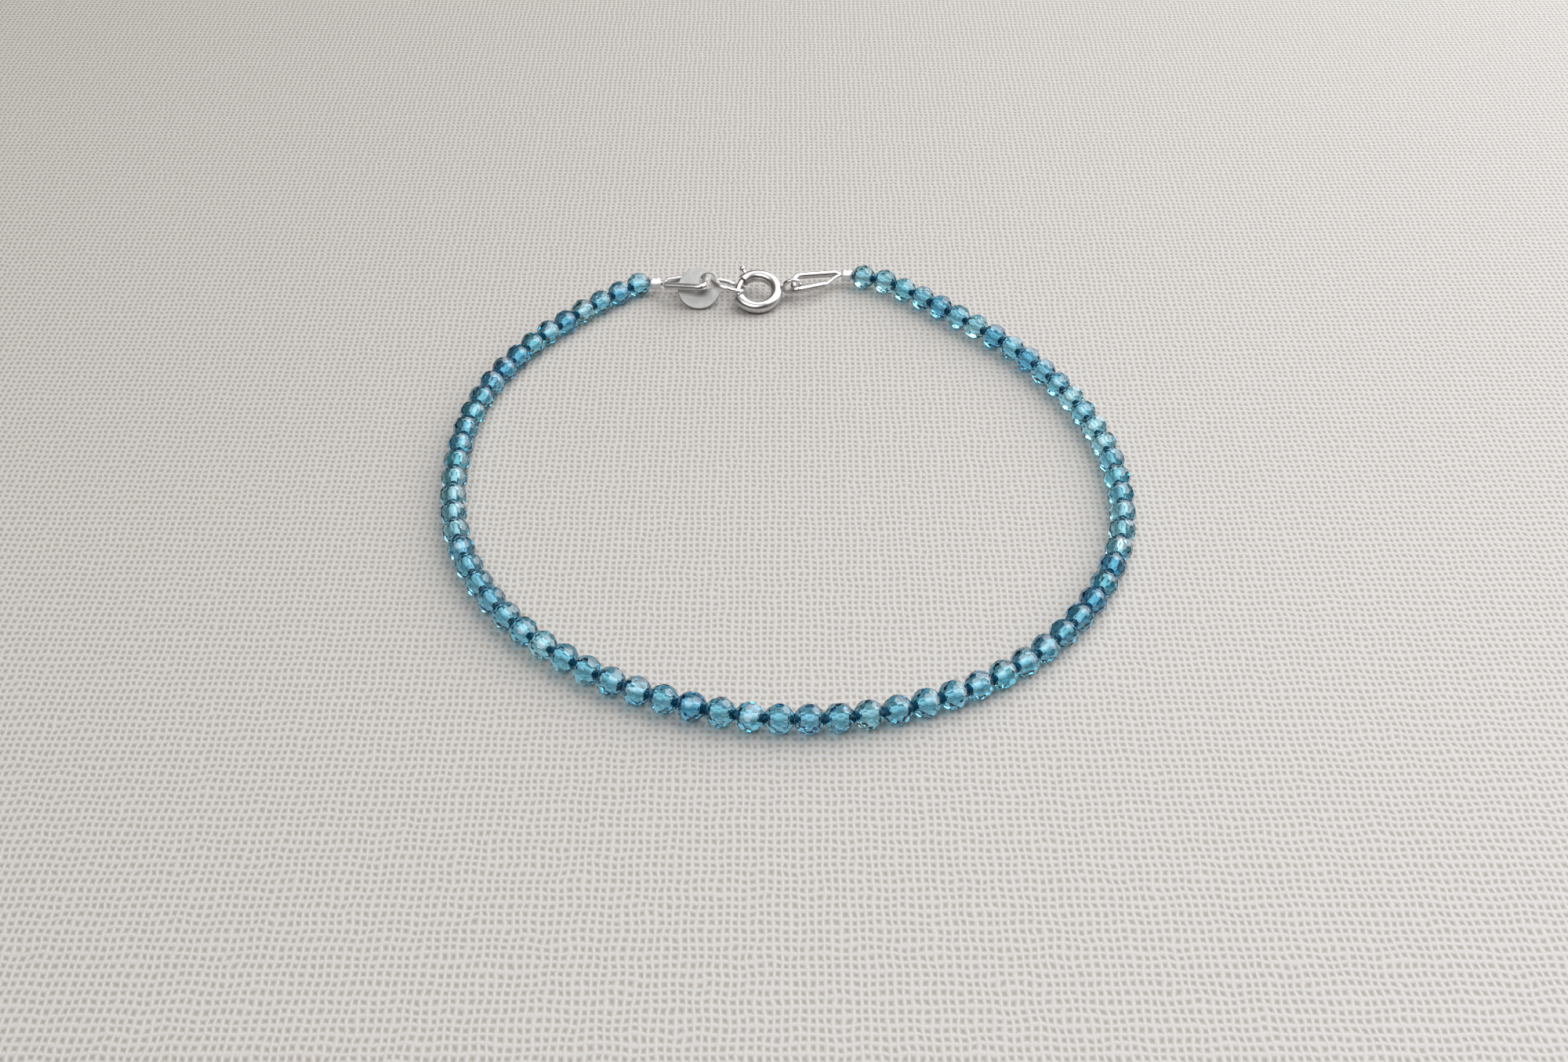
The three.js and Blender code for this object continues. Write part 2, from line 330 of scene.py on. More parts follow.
def rounded_route(points, corner, per_run, per_corner):
    """Straight runs between points with a rounded corner at each inner point."""
    points = [Vector(p) for p in points]
    made, start = [], points[0]
    for i in range(1, len(points) - 1):
        here = points[i]
        before = here + (points[i - 1] - here).normalized() * corner
        after = here + (points[i + 1] - here).normalized() * corner
        made += [start.lerp(before, n / per_run) for n in range(per_run)]
        for n in range(per_corner):
            t = n / per_corner
            made.append(before.lerp(here, t).lerp(here.lerp(after, t), t))
        start = after
    return made + [start.lerp(points[-1], n / per_run) for n in range(per_run + 1)]


# ---------------------------------------------------------------- materials

STONE = {
    "absorbs": (0.69, 0.192, 0.071),  # of red, green and blue, for each millimetre
    "tint": (0.93, 0.99, 1.0),
    "ior": 1.68,
    "roughness": 0.004,
    "veils": 900,  # in a metre, as for every scale below
    "waves": 2200,
    "wave_mm": 0.012,
}
STONE_SHADES = {  # how much each shade absorbs, against the stone above
    "middle": (1.0, 1.0, 1.0),
    "pale": (0.7, 0.66, 0.7),
    "deep": (1.35, 1.45, 1.35),
    "green": (1.05, 0.95, 1.15),
    "blue": (1.0, 1.08, 0.9),
}
GROUND_STONE = {"marks": 3000, "dulled": 0.85, "roughness": 0.6}
METAL = {"clouds": 700, "scratches": 9000, "dents": 1600}
CLOTH = {
    # painted light: the cloth's colour is darker at the far left and paler at the near right, as the
    # window's light falls across it
    "painted_shade_far_left": (0.332, 0.322, 0.304),
    "painted_light_near_right": (0.487, 0.482, 0.484),
    "slope": (5.9, -3.1, 0),  # from the one to the other, over 0.3 m
    "yarn_mm": {"X": 0.56, "Y": 0.66},  # from yarn to yarn
    "uneven": 3.5,
    "rounding": 0.35,
    # painted shade: the gaps between the yarns are darker and warmer, and the yarn tops a little paler, as
    # light falls on the weave
    "gaps": (0.76, 0.715, 0.65),
    "yarns": (1.095, 1.08, 1.06),
    "pales_over": (0.1, 0.8),  # the weave's heights at which a gap ends and a yarn begins
    "relief_mm": 0.06,
    "roughness": 0.9,
    "gloss": 0.1,
}
MIX_FACTOR, MIX_A, MIX_B, MIX_RESULT = 0, 6, 7, 2  # a colour Mix node's sockets, by number


def new_material(name):
    """(material, its nodes, its links, its shader)."""
    material = bpy.data.materials.new(name)
    material.use_nodes = True
    nodes = material.node_tree.nodes
    return material, nodes, material.node_tree.links, nodes["Principled BSDF"]


def textured(nodes, links, kind, scale, **inputs):
    """A procedural texture on the object's own coordinates, with scale per metre."""
    coordinates = nodes.new("ShaderNodeTexCoord")
    texture = nodes.new(kind)
    links.new(coordinates.outputs["Object"], texture.inputs["Vector"])
    texture.inputs["Scale"].default_value = scale
    for name, value in inputs.items():
        texture.inputs[name].default_value = value
    return texture


def ramp(nodes, links, source, low, high, start=0.3, end=0.7):
    """source's value as a colour from low to high."""
    node = nodes.new("ShaderNodeValToRGB")
    for element, position, colour in zip(node.color_ramp.elements, (start, end), (low, high)):
        element.position = position
        element.color = (*colour, 1)
    links.new(source, node.inputs["Fac"])
    return node.outputs["Color"]


def direction_ramp(nodes, links, towards, low, high, start, end, kind="Generated"):
    """A colour from low to high as coordinates turn from away to towards; kind says which coordinates."""
    coordinates = nodes.new("ShaderNodeTexCoord")
    facing = nodes.new("ShaderNodeVectorMath")
    facing.operation = "DOT_PRODUCT"
    facing.inputs[1].default_value = towards
    links.new(coordinates.outputs[kind], facing.inputs[0])
    shift = nodes.new("ShaderNodeMapRange")
    shift.inputs["From Min"].default_value = -1.0
    links.new(facing.outputs["Value"], shift.inputs["Value"])
    return ramp(nodes, links, shift.outputs["Result"], low, high, (start + 1) / 2, (end + 1) / 2)


def spread(nodes, links, source, low, high):
    """source's value from 0 to 1 as a value from low to high."""
    node = nodes.new("ShaderNodeMapRange")
    node.inputs["To Min"].default_value = low
    node.inputs["To Max"].default_value = high
    links.new(source, node.inputs["Value"])
    return node.outputs["Result"]


def multiplied(nodes, links, one, other):
    """Two colours multiplied."""
    product = nodes.new("ShaderNodeMix")
    product.data_type = "RGBA"
    product.blend_type = "MULTIPLY"
    product.inputs[MIX_FACTOR].default_value = 1.0
    links.new(one, product.inputs[MIX_A])
    links.new(other, product.inputs[MIX_B])
    return product.outputs[MIX_RESULT]


def bumped(nodes, links, shader, source, height_mm):
    """Gives the shader's surface the relief of source, height_mm high where source is 1."""
    bump = nodes.new("ShaderNodeBump")
    bump.inputs["Distance"].default_value = height_mm * MM
    links.new(source, bump.inputs["Height"])
    links.new(bump.outputs["Normal"], shader.inputs["Normal"])


def stone(name, absorbs):
    """Clear stone, its facets not quite flat. absorbs is what it takes off each colour in a millimetre."""
    material, nodes, links, shader = new_material(name)
    shader.inputs["Transmission Weight"].default_value = 1.0
    shader.inputs["IOR"].default_value = STONE["ior"]
    shader.inputs["Roughness"].default_value = STONE["roughness"]
    veils = textured(nodes, links, "ShaderNodeTexNoise", STONE["veils"], Detail=4, Roughness=0.6)
    tint = STONE["tint"]
    pale = tuple(0.5 + 0.5 * c for c in tint)
    links.new(ramp(nodes, links, veils.outputs["Fac"], tint, pale), shader.inputs["Base Color"])
    waves = textured(nodes, links, "ShaderNodeTexNoise", STONE["waves"], Detail=1)
    bumped(nodes, links, shader, waves.outputs["Fac"], STONE["wave_mm"])
    inside = nodes.new("ShaderNodeVolumeAbsorption")
    density = max(absorbs) / MM
    inside.inputs["Density"].default_value = density
    inside.inputs["Color"].default_value = (*(1 - a / MM / density for a in absorbs), 1)
    links.new(inside.outputs["Volume"], nodes["Material Output"].inputs["Volume"])
    return material


def ground_stone(name, colour, gloss):
    """The wall of a drilled hole, ground and so not clear, with the marks of the drill."""
    material, nodes, links, shader = new_material(name)
    marks = textured(nodes, links, "ShaderNodeTexNoise", GROUND_STONE["marks"], Detail=3)
    dull = tuple(c * GROUND_STONE["dulled"] for c in colour)
    links.new(ramp(nodes, links, marks.outputs["Fac"], dull, colour), shader.inputs["Base Color"])
    shader.inputs["Roughness"].default_value = GROUND_STONE["roughness"]
    shader.inputs["Specular IOR Level"].default_value = gloss
    return material


def woven(nodes, links):
    """The height of a plain weave: 1 on the yarns and 0 in the gaps between them."""
    waves = []
    for direction, pitch in CLOTH["yarn_mm"].items():
        scale = math.pi / 10 / (pitch * MM)  # this texture has one wave in a tenth of pi
        wave = textured(nodes, links, "ShaderNodeTexWave", scale, Distortion=CLOTH["uneven"], Detail=2)
        wave.bands_direction = direction
        waves.append(wave.outputs["Fac"])
    height = nodes.new("ShaderNodeMath")
    height.operation = "SMOOTH_MAX"
    height.inputs[2].default_value = CLOTH["rounding"]
    for source, target in zip(waves, height.inputs):
        links.new(source, target)
    return height.outputs["Value"]


def cloth(name):
    """Pale cloth in a plain weave, with painted light and shade in its colour: darker towards the far left
    and paler towards the near right, as the window's light falls, and darker, warmer gaps between the yarns.
    """
    material, nodes, links, shader = new_material(name)
    shader.inputs["Roughness"].default_value = CLOTH["roughness"]
    shader.inputs["Specular IOR Level"].default_value = CLOTH["gloss"]
    # painted light and shade: the colour runs from darker at the far left to paler at the near right
    colours = CLOTH["painted_shade_far_left"], CLOTH["painted_light_near_right"]
    shade = direction_ramp(nodes, links, CLOTH["slope"], *colours, -1, 1, "Object")
    weave = woven(nodes, links)
    # painted shade in the gaps between the yarns, and painted light on the yarn tops
    yarns = ramp(nodes, links, weave, CLOTH["gaps"], CLOTH["yarns"], *CLOTH["pales_over"])
    links.new(multiplied(nodes, links, shade, yarns), shader.inputs["Base Color"])
    bumped(nodes, links, shader, weave, CLOTH["relief_mm"])
    return material


def metal(name, colour, roughness, scratch_mm, dent_mm, dulled=0.9):
    """Silver with fine scratches, soft dents and dulled patches; roughness is (least, most)."""
    material, nodes, links, shader = new_material(name)
    shader.inputs["Metallic"].default_value = 1.0
    cloud = textured(nodes, links, "ShaderNodeTexNoise", METAL["clouds"], Detail=3)
    dull = tuple(c * dulled for c in colour)
    links.new(ramp(nodes, links, cloud.outputs["Fac"], dull, colour), shader.inputs["Base Color"])
    links.new(spread(nodes, links, cloud.outputs["Fac"], *roughness), shader.inputs["Roughness"])
    scratches = textured(nodes, links, "ShaderNodeTexNoise", METAL["scratches"], Detail=5, Distortion=1.5)
    dents = textured(nodes, links, "ShaderNodeTexNoise", METAL["dents"], Detail=1)
    height = nodes.new("ShaderNodeMath")
    height.operation = "MULTIPLY_ADD"
    height.inputs[1].default_value = scratch_mm / dent_mm
    links.new(scratches.outputs["Fac"], height.inputs[0])
    links.new(dents.outputs["Fac"], height.inputs[2])
    bumped(nodes, links, shader, height.outputs["Value"], dent_mm)
    return material


STONES = [
    stone(f"stone_{shade}", tuple(a * more for a, more in zip(STONE["absorbs"], mores)))
    for shade, mores in STONE_SHADES.items()
]
HOLE_WALL = ground_stone("hole_wall", (0.97, 1.0, 1.0), 0.5)
# The hole's ends and the rims round them: painted shade, a dark navy put where the thread and the next bead
# shade the hole's mouths.
HOLE_MOUTH_PAINTED_SHADE = ground_stone("hole_mouth_painted_shade", (0.006, 0.1, 0.18), 0.1)
SILVER = metal("polished_silver", (0.67, 0.655, 0.66), (0.22, 0.34), 0.0006, 0.004)
CRIMP_SILVER = metal("crimp_silver", (0.88, 0.865, 0.88), (0.4, 0.55), 0.001, 0.01)
TAG_SILVER = metal("matt_silver", (0.47, 0.47, 0.455), (0.42, 0.58), 0.002, 0.03, dulled=0.6)
WIRE = metal("beading_wire", (0.86, 0.86, 0.85), (0.25, 0.45), 0.002, 0.004)


# ---------------------------------------------------------------- beads

STRETCHES = sorted(name for name in frame["nodes"] if name.startswith("beads_"))
PER_STRETCH = 4


def bead_places():
    """The middle of every bead, in thread order from the right crimp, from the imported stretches."""
    middles = []
    height = sum(corner.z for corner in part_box(STRETCHES[0])) / 2
    for name in STRETCHES:
        points = np.array([v.co for v in frame["nodes"][name].data.vertices], float)
        points = np.unique(points.round(7), axis=0)
        points = points[abs(points[:, 2] - height) > 1e-5]  # less the corners level with the middles
        chord = np.linalg.svd(points - points.mean(0), full_matrices=False)[2][0]
        along = (points - points.mean(0)) @ chord
        share = (along - along.min()) / (np.ptp(along) + 1e-9)
        group = np.floor(share * PER_STRETCH).astype(int)
        found = [Vector(points[group == n].mean(0)) for n in range(PER_STRETCH)]
        middles += sorted(found, key=turn_from_clasp)
    return middles


def turn_from_clasp(point):
    """How far round the loop a point is from the clasp's side, clockwise from above, in radians."""
    return (math.pi / 2 - math.atan2(point[1], point[0])) % (2 * math.pi)


MIDDLES = bead_places()


def facet_planes(rng):
    """(outward normal, distance) of each facet of a bead with its hole along Y, in millimetres."""
    radius = BEAD["across_flats"] / 2
    count = BEAD["facets_round"]
    planes = [(Vector((0, end, 0)), BEAD["half_length"]) for end in (-1, 1)]
    for row, (latitude, reach) in enumerate(BEAD["rows"]):
        for end in (-1, 1) if latitude else (1,):
            for n in range(count):
                angle = 2 * math.pi * (n + 0.5 * (row % 2)) / count
                tilt = math.radians(latitude) + rng.uniform(-1, 1) * BEAD["uneven"]
                across = math.cos(tilt)
                normal = Vector(
                    (across * math.cos(angle), end * math.sin(tilt), across * math.sin(angle))
                )
                planes.append((normal, radius * reach * (1 - rng.random() * BEAD["uneven"])))
    return planes


def cut_bead(rng):
    """One bead in millimetres with its hole along Y: a block cut to its facets, worn and drilled."""
    planes = facet_planes(rng)
    body = bmesh.new()
    bmesh.ops.create_cube(body, size=2 * BEAD["across_flats"])
    for normal, distance in planes:
        cut = bmesh.ops.bisect_plane(
            body,
            geom=body.verts[:] + body.edges[:] + body.faces[:],
            plane_co=normal * distance,
            plane_no=normal,
            clear_outer=True,
        )
        rim = [g for g in cut["geom_cut"] if isinstance(g, bmesh.types.BMEdge)]
        bmesh.ops.edgeloop_fill(body, edges=rim)
    bmesh.ops.remove_doubles(body, verts=body.verts, dist=3 * BEAD["edge_wear"])
    bmesh.ops.bevel(
        body, geom=body.edges[:], offset=BEAD["edge_wear"], segments=1, affect="EDGES", profile=0.5
    )
    drill(body)
    verts = [v.co.copy() for v in body.verts]
    faces = [[v.index for v in f.verts] for f in body.faces]
    kinds = [face_kind(face) for face in body.faces]
    body.free()
    return verts, faces, kinds


def face_kind(face):
    """0 for a polished facet, 1 for the pale wall of the hole and 2 for its ends and their rims, which are
    painted dark as painted shade.
    """
    just_past_the_mouth = BEAD["mouth_radius"] * 1.01
    if max(math.hypot(v.co.x, v.co.z) for v in face.verts) > just_past_the_mouth:
        faces_along_the_thread = abs(face.normal.y) > 0.999
        return 2 if faces_along_the_thread else 0
    return 1 if abs(face.calc_center_median().y) < BEAD["pale_hole"] * BEAD["half_length"] else 2


def round_the_hole(vert):
    """How far round the hole a corner is, in radians."""
    return math.atan2(vert.co.z, vert.co.x)


def fill_between(body, rim, ring):
    """Triangles between an end facet's rim and the hole's, step by step round the hole."""
    loops = [sorted(loop, key=round_the_hole) for loop in (rim, ring)]
    at = [0, 0]
    while at != [len(rim), len(ring)]:
        ahead = []
        for loop, i in zip(loops, at):
            laps, n = divmod(i + 1, len(loop))
            ahead.append(math.inf if i == len(loop) else round_the_hole(loop[n]) + 2 * math.pi * laps)
        nearer = ahead.index(min(ahead))
        corners = [loop[i % len(loop)] for loop, i in zip(loops, at)]
        at[nearer] += 1
        body.faces.new((*corners, loops[nearer][at[nearer] % len(loops[nearer])]))


def hole_ring(body, along, across):
    """New corners round the hole at one place along it."""
    ring = []
    for n in range(BEAD["hole_sides"]):
        angle = 2 * math.pi * (n + 0.5) / BEAD["hole_sides"]
        ring.append(body.verts.new((across * math.cos(angle), along, across * math.sin(angle))))
    return ring


def drill(body):
    """Opens the two end facets and joins them by a round hole, drilled from both ends and so wider there."""
    length, pale = BEAD["half_length"], BEAD["pale_hole"]
    wide, narrow = BEAD["mouth_radius"], BEAD["hole_radius"]
    rings = [
        hole_ring(body, length * share, across)
        for share, across in ((-1, wide), (-pale, narrow), (pale, narrow), (1, wide))
    ]
    for end, ring in ((-1, rings[0]), (1, rings[-1])):
        face = max(body.faces, key=lambda f: f.calc_center_median().y * end)
        rim = list(face.verts)
        bmesh.ops.delete(body, geom=[face], context="FACES_ONLY")
        fill_between(body, rim, ring)
    for one, two in zip(rings, rings[1:]):
        for n in range(BEAD["hole_sides"]):
            body.faces.new((one[n - 1], one[n], two[n], two[n - 1]))
    bmesh.ops.recalc_face_normals(body, faces=body.faces)
    body.normal_update()
    body.verts.index_update()


def set_bead(verts, middle, along, rng):
    """A cut bead turned on the thread by chance, and let down until it stands on the floor."""
    across = along.cross(UP).normalized()
    turned = Matrix((across, along, across.cross(along))).transposed()
    turned = turned @ Matrix.Rotation(rng.uniform(0, 2 * math.pi), 3, "Y")
    lean = rng.uniform(-BEAD["lean_deg"], BEAD["lean_deg"])
    turned = turned @ Matrix.Rotation(math.radians(lean), 3, "X")
    size = rng.uniform(BEAD["smallest"], 1.0)
    verts = [turned @ (v * size) * MM for v in verts]
    drop = -min(v.z for v in verts) - middle.z
    return [v + middle + UP * drop for v in verts]


def make_beads():
    """The beads, one piece for each packed stretch, each bead one of a few cuts and of a few shades."""
    rng = random.Random(BEAD["seed"])
    cuts = [cut_bead(rng) for _ in range(BEAD["cuts"])]
    # the last material paints the hole's ends dark, as painted shade
    materials = [*STONES, HOLE_WALL, HOLE_MOUTH_PAINTED_SHADE]
    for stretch, name in enumerate(STRETCHES):
        parts, shades = [], []
        for here in range(stretch * PER_STRETCH, (stretch + 1) * PER_STRETCH):
            before, after = max(here - 1, 0), min(here + 1, len(MIDDLES) - 1)
            along = (MIDDLES[before] - MIDDLES[after]).normalized()
            verts, faces, kinds = rng.choice(cuts)
            parts.append((set_bead(verts, MIDDLES[here], along, rng), faces))
            shade = rng.choice(BEAD["shades"])
            shades += [len(STONES) + kind - 1 if kind else shade for kind in kinds]
        obj = piece(f"stone_{name}", joined(parts), materials, [name], smooth=False)
        obj.data.polygons.foreach_set("material_index", shades)


# ---------------------------------------------------------------- thread and crimps


def end_frame(side):
    """(middle, towards the clasp, across) of the crimp on that side."""
    low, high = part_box(f"crimp_{side}")
    middle = (low + high) / 2
    near = MIDDLES[0] if side == "right" else MIDDLES[-1]
    outward = (middle - near).normalized()
    return middle, outward, outward.cross(UP).normalized()


def guardian_points(side):
    """The guardian's ends and corners in the frame, in metres."""
    return [place(p) for p in GUARDIAN_ROUTE[side]]


def thread_end(side):
    """The wire from the last bead out through the crimp, round in the guardian and back."""
    middle, outward, across = end_frame(side)
    route = guardian_points(side)
    if (route[0] - middle).dot(across) < 0:
        across = -across
    half = CRIMP["length"] / 2 * MM
    beyond = half + STRANDS["straight"] * MM
    behind = half + STRANDS["behind_crimp"] * MM
    aside = across * STRANDS["spread"] / 2 * MM
    inside = rounded_route(route, GUARDIAN["corner"] * MM, per_run=4, per_corner=6)
    return [
        middle - outward * behind + aside,
        middle + outward * beyond + aside,
        *inside,
        middle + outward * beyond - aside,
        middle - outward * behind - aside,
    ]


def make_thread():
    """The beading wire, in one run through the beads and round in both guardians."""
    route = thread_end("right")[::-1] + MIDDLES + thread_end("left")
    points = curve_through(route, THREAD["step"] * MM)
    shape = tube(sections(points), THREAD["radius"] * MM, THREAD["sides"])
    piece("thread", shape, [WIRE], ["strands_right", "strands_left"])


def crimp_outline():
    """(along, radius) round the section of a crimp: its bulged outside, its lips and its bore."""
    half, hole = CRIMP["length"] / 2, CRIMP["hole_radius"]
    outline = []
    for n in range(CRIMP["steps"] + 1):
        t = n / CRIMP["steps"] * 2 - 1
        bulge = math.sqrt(max(0.0, 1 - abs(t) ** CRIMP["squareness"]))
        outline.append((half * t, CRIMP["end_radius"] + (CRIMP["radius"] - CRIMP["end_radius"]) * bulge))
    lip = (CRIMP["end_radius"] - hole) / 2
    end = half + lip * CRIMP["lip_rise"]
    steps = CRIMP["bore_steps"]
    bore = [(half * (1 - 2 * n / steps), hole) for n in range(steps + 1)]
    return [*outline, (end, hole + lip), *bore, (-end, hole + lip)]


def make_crimp(side):
    """A short crimped tube with rounded ends, squeezed once across its middle."""
    middle, outward, across = end_frame(side)
    above = across.cross(outward)
    outline = crimp_outline()
    sides = CRIMP["sides"]
    verts = []
    for along, radius in outline:
        depth = CRIMP["pinch"] * math.exp(-((along / CRIMP["pinch_width"]) ** 2))
        for j in range(sides):
            angle = 2 * math.pi * j / sides
            pinch = 1 - depth * max(0.0, math.cos(angle - CRIMP["pinch_at"])) ** 4
            reach = radius * pinch if radius > CRIMP["hole_radius"] else radius
            verts.append(
                middle
                + (outward * along + (across * math.cos(angle) + above * math.sin(angle)) * reach) * MM
            )
    shape = verts, wrapped(len(outline), sides)
    piece(f"silver_crimp_{side}", shape, [CRIMP_SILVER], [f"crimp_{side}"])


# ---------------------------------------------------------------- guardians, tag and jump ring


def make_guardian(side):
    """A U rolled from sheet: closed tubes with a fine seam as legs, open outwards round its bend."""
    route = guardian_points(side)
    third = GUARDIAN["rings"] // 3
    points = rounded_route(route, GUARDIAN["corner"] * MM, per_run=third, per_corner=third)
    flat = (route[0] - route[1]).cross(route[2] - route[1]).normalized()
    inside = sum(route, Vector()) / len(route)
    frames = sections(points, start=flat)
    lengths = np.cumsum([0, *((b - a).length for a, b in zip(points, points[1:]))])
    sides = GUARDIAN["sides"]
    outer, inner = [], []
    for (point, tangent, side_way, _), length in zip(frames, lengths):
        outward = tangent.cross(side_way)
        if outward.dot(point - inside) < 0:
            outward = -outward
        share = abs(length / lengths[-1] * 2 - 1)
        opened = 0.5 + 0.5 * math.cos(math.pi * min(1.0, share / GUARDIAN["open_share"]))
        gap = GUARDIAN["seam_deg"] + (GUARDIAN["open_deg"] - GUARDIAN["seam_deg"]) * opened
        start, stop = math.radians(gap), 2 * math.pi - math.radians(gap)
        ways = []
        for j in range(sides):
            angle = start + (stop - start) * j / (sides - 1)
            ways.append(outward * math.cos(angle) + side_way * math.sin(angle))
        outer.append([point + way * GUARDIAN["radius"] * MM for way in ways])
        inner.append([point + way * GUARDIAN["bore"] * MM for way in ways])
    shape = shell(outer, inner, lambda i, j: j == sides - 1)
    node = f"guardian_{side}"
    piece(f"silver_{node}", shape, [SILVER], [node], wear_mm=GUARDIAN["edge_wear"])


def tag_section():
    """(0 at the hole to 1 at the rim, inset from that edge or None between them, height), all round."""
    half, edge, steps = TAG["thickness"] / 2, TAG["edge"], TAG["steps"]
    arc = [math.pi / 2 * n / TAG["edge_steps"] for n in range(TAG["edge_steps"] + 1)]
    return [
        *((1, edge * (1 - math.sin(a)), half - edge * (1 - math.cos(a))) for a in arc),
        *((1, edge * (1 - math.cos(a)), -half + edge * (1 - math.sin(a))) for a in arc),
        *((1 - n / steps, None, -half) for n in range(1, steps)),
        *((0, edge * (1 - math.sin(a)), -half + edge * (1 - math.cos(a))) for a in arc),
        *((0, edge * (1 - math.cos(a)), half - edge * (1 - math.sin(a))) for a in arc),
        *((n / steps, None, half) for n in range(1, steps)),
    ]


def make_tag():
    """A round disc with an off-centre hole, rounded edges and a softly uneven face. It is bare."""
    sides, edge = TAG["sides"], TAG["edge"]
    section = tag_section()
    turned = Matrix.Rotation(math.radians(TAG["tilt_deg"]), 3, "X")
    centre = place(CLASP["tag"])
    verts = []
    for j in range(sides):
        angle = 2 * math.pi * j / sides
        way = Vector((math.cos(angle), math.sin(angle), 0))
        rim = way * TAG["radius"]
        hole = Vector((*TAG["hole_at"], 0)) + way * TAG["hole_radius"]
        across = (rim - hole).normalized()
        for place_across, inset, height in section:
            if inset is None:
                point = (hole + across * edge).lerp(rim - across * edge, place_across)
            elif place_across:
                point = rim - across * inset
            else:
                point = hole + across * inset
            worn = sum(share * noise.noise(point * scale) for scale, share in TAG["dent_scales"])
            point = point + Vector((0, 0, height + worn * TAG["dents"]))
            verts.append(centre + turned @ point * MM)
    piece("silver_tag", (verts, wrapped(sides, len(section))), [TAG_SILVER], ["tag"])


def arc_frames(centre, x_way, y_way, radius, from_deg, to_deg, rings):
    """Frames round part of a circle: (point, tangent, outward, normal)."""
    normal = x_way.cross(y_way)
    made = []
    for n in range(rings + 1):
        angle = math.radians(from_deg + (to_deg - from_deg) * n / rings)
        outward = x_way * math.cos(angle) + y_way * math.sin(angle)
        made.append((centre + outward * radius, normal.cross(outward), outward, normal))
    return made


def make_jump_ring():
    """Round wire bent to a ring, its cut ends pressed together."""
    start, stop = place(CLASP["jump_ring_in_tag"]), place(CLASP["jump_ring_in_spring_ring"])
    tilt = math.radians(JUMP_RING_TILT_DEG)
    lengthwise = (stop - start).normalized()
    normal = lengthwise.cross(Vector((0, math.cos(tilt), math.sin(tilt)))).normalized()
    radius = (stop - start).length / 2
    half_gap = math.degrees(JUMP_RING["cut_gap"] * MM / 2 / radius)
    cut = JUMP_RING["cut_deg"]
    frames = arc_frames(
        (start + stop) / 2,
        lengthwise,
        normal.cross(lengthwise),
        radius,
        cut + half_gap,
        cut + 360 - half_gap,
        JUMP_RING["rings"],
    )
    shape = tube(frames, JUMP_RING["wire"] * MM, JUMP_RING["sides"])
    wear = JUMP_RING["edge_wear"]
    piece("silver_jump_ring", shape, [SILVER], ["jump_ring"], wear_mm=wear)


# ---------------------------------------------------------------- spring ring and bolt

RING_X = Vector((1, 0, 0))
RING_Y = RING_NORMAL.cross(RING_X)


def ring_frames(from_deg, to_deg, rings):
    """Frames along the middle of the spring ring's tube."""
    return arc_frames(
        RING_CENTRE, RING_X, RING_Y, SPRING_RING["major"] * MM, from_deg, to_deg, rings
    )


def ring_outward(at_deg):
    """The way out of the spring ring's centre at that place on it."""
    at = math.radians(at_deg)
    return RING_X * math.cos(at) + RING_Y * math.sin(at)


def slotted_angles():
    """(angles round the tube's section, two of them at the slot's sides; cells in half the slot)."""
    sides = SPRING_RING["sides"]
    half_slot = math.asin(SPRING_RING["slot_width"] / 2 / SPRING_RING["tube"])
    step = 2 * math.pi / sides
    slot_cells = max(1, round(half_slot / step))
    angles = []
    for j in range(sides):
        signed = j if j <= sides // 2 else j - sides
        near = min(abs(signed), slot_cells) * half_slot / slot_cells
        far = max(0, abs(signed) - slot_cells) / (sides / 2 - slot_cells) * (math.pi - half_slot)
        angles.append(math.copysign(near + far, signed))
    return angles, slot_cells


def slotted_tube():
    """The wall of the spring ring, open at its mouth and along its slot."""
    from_deg, to_deg = SPRING_RING["mouth_deg"][1] - 360, SPRING_RING["mouth_deg"][0]
    rings = round((to_deg - from_deg) * SPRING_RING["rings_per_deg"])
    frames = ring_frames(from_deg, to_deg, rings)
    sides = SPRING_RING["sides"]
    angles, slot_cells = slotted_angles()
    slot_from = round((SPRING_RING["slot_deg"][0] - from_deg) / (to_deg - from_deg) * rings)

    def in_slot(i, j):
        return i >= slot_from and (j < slot_cells or j >= sides - slot_cells)

    grids = []
    for radius in (SPRING_RING["tube"] * MM, SPRING_RING["bore"] * MM):
        grids.append(
            [
                [point + (outward * math.cos(a) + normal * math.sin(a)) * radius for a in angles]
                for point, _, outward, normal in frames
            ]
        )
    return shell(*grids, in_slot)


def make_spring_ring():
    """The slotted tube, and the eyelet soldered to its outside."""
    outward = ring_outward(EYELET["at_deg"])
    outer = SPRING_RING["major"] + SPRING_RING["tube"]
    reach = outer - EYELET["soldered"] + EYELET["major"] + EYELET["wire"]
    centre = RING_CENTRE + outward * reach * MM
    loop = tube_ring(centre, outward, RING_NORMAL, EYELET["major"] * MM, EYELET["wire"] * MM)
    shape = joined([slotted_tube(), loop])
    wear = SPRING_RING["edge_wear"]
    piece("silver_spring_ring", shape, [SILVER], ["spring_ring"], wear_mm=wear)


def tube_ring(centre, x_way, y_way, major, wire, rings=96, sides=24):
    """A closed ring of round wire."""
    verts = []
    for point, _, outward, normal in arc_frames(centre, x_way, y_way, major, 0, 360, rings)[:-1]:
        for j in range(sides):
            angle = 2 * math.pi * j / sides
            verts.append(point + (outward * math.cos(angle) + normal * math.sin(angle)) * wire)
    return verts, wrapped(rings, sides)


